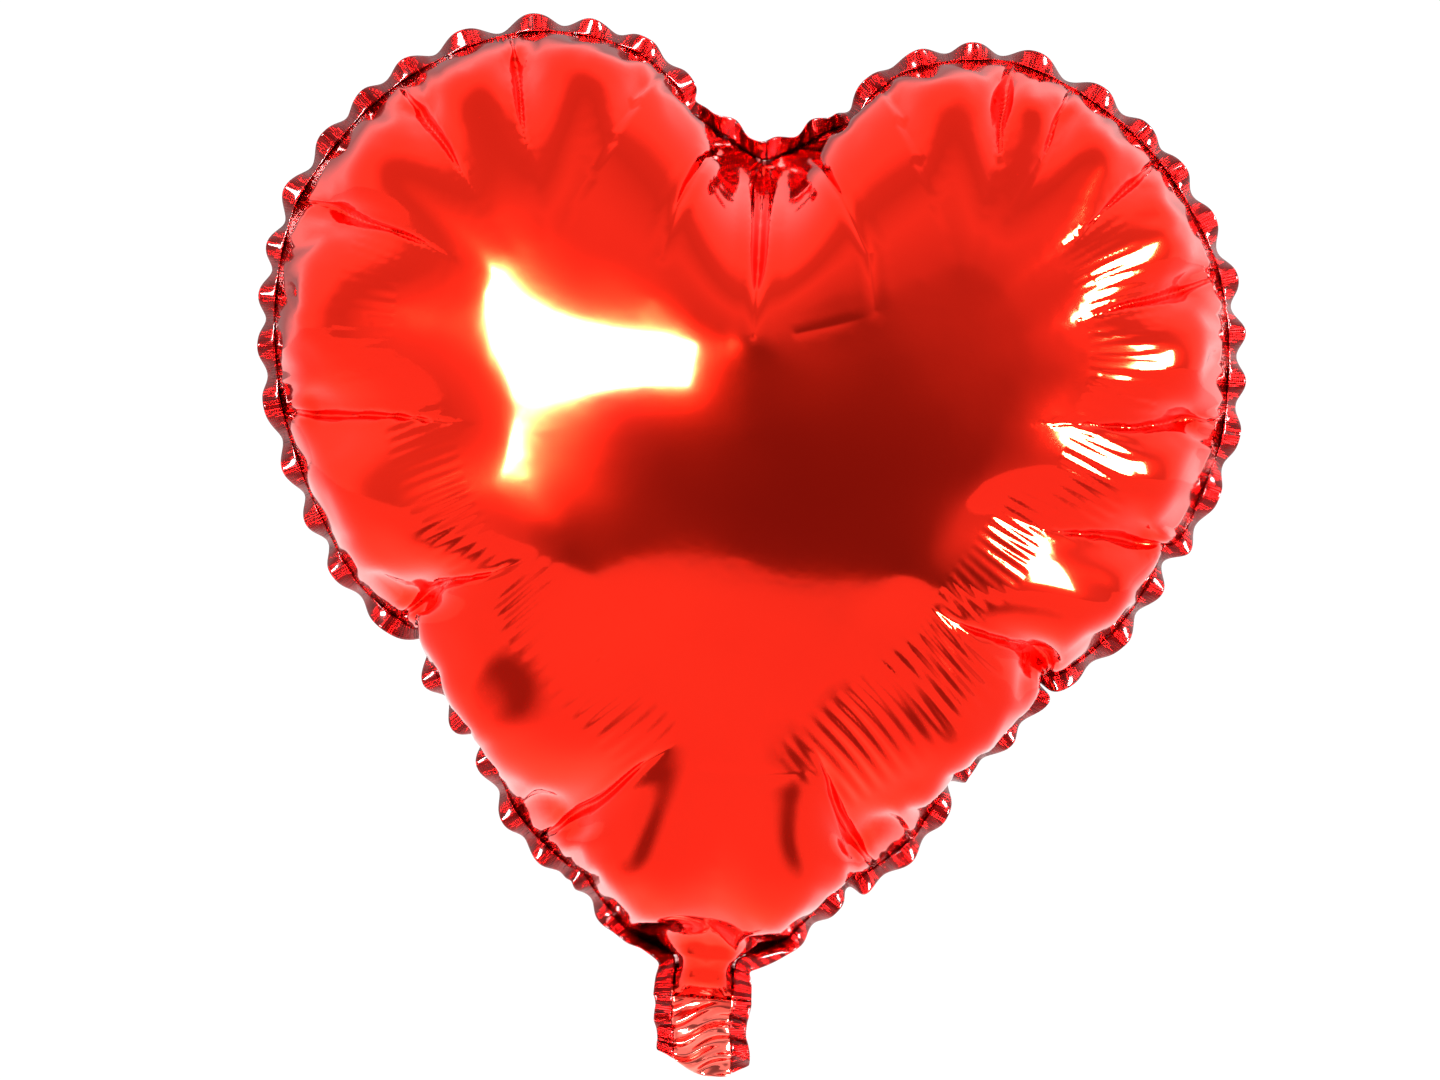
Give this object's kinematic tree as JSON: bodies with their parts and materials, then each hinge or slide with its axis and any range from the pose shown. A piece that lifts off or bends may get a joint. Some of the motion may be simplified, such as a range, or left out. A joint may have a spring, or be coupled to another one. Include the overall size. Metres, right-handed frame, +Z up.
{
  "type": "heart foil balloon",
  "caption": "Inflated heart-shaped foil balloon with a crimped heat-sealed rim, a flat folding filling tail and a flap valve inside its neck.",
  "frame": {"origin": "middle of the neck, 7 mm above the line that the tail folds on, where a ribbon is tied", "axes": "+Z up from the neck to the heart's cleft, -Y out of the front panel, +X across to the right seen from the front; the YZ plane is the mirror plane of the two lobes"},
  "size_m": [0.3744, 0.172, 0.4002],
  "materials": {
    "red_foil": "mirror-bright red metallised film",
    "sealed_rim": "crimped dark red metallised film",
    "clear_film": "clear plastic film",
    "release_ink": "matt printed stripe"
  },
  "bodies": {
    "balloon": {"front_panel": "red_foil", "back_panel": "red_foil", "rim_seal": "sealed_rim", "neck_front_film": "red_foil", "neck_back_film": "red_foil", "valve_inlet_welds": "clear_film", "valve_back_film": "clear_film", "valve_side_welds": "clear_film", "valve_release_stripe": "release_ink"},
    "tail": {"tail_front_film": "red_foil", "tail_back_film": "red_foil", "tail_side_seals": "sealed_rim"},
    "valve_flap": {"valve_front_film": "clear_film"}
  },
  "joints": [
    {"name": "tail_fold", "type": "hinge", "parent": "balloon", "child": "tail", "pos_m": [0, 0, -0.007], "axis": [1, 0, 0], "range_deg": [-70, 70]},
    {"name": "valve_open", "type": "hinge", "parent": "balloon", "child": "valve_flap", "pos_m": [0, -0.0005, -0.0042], "axis": [1, 0, 0], "range_deg": [0, 5]}
  ]
}
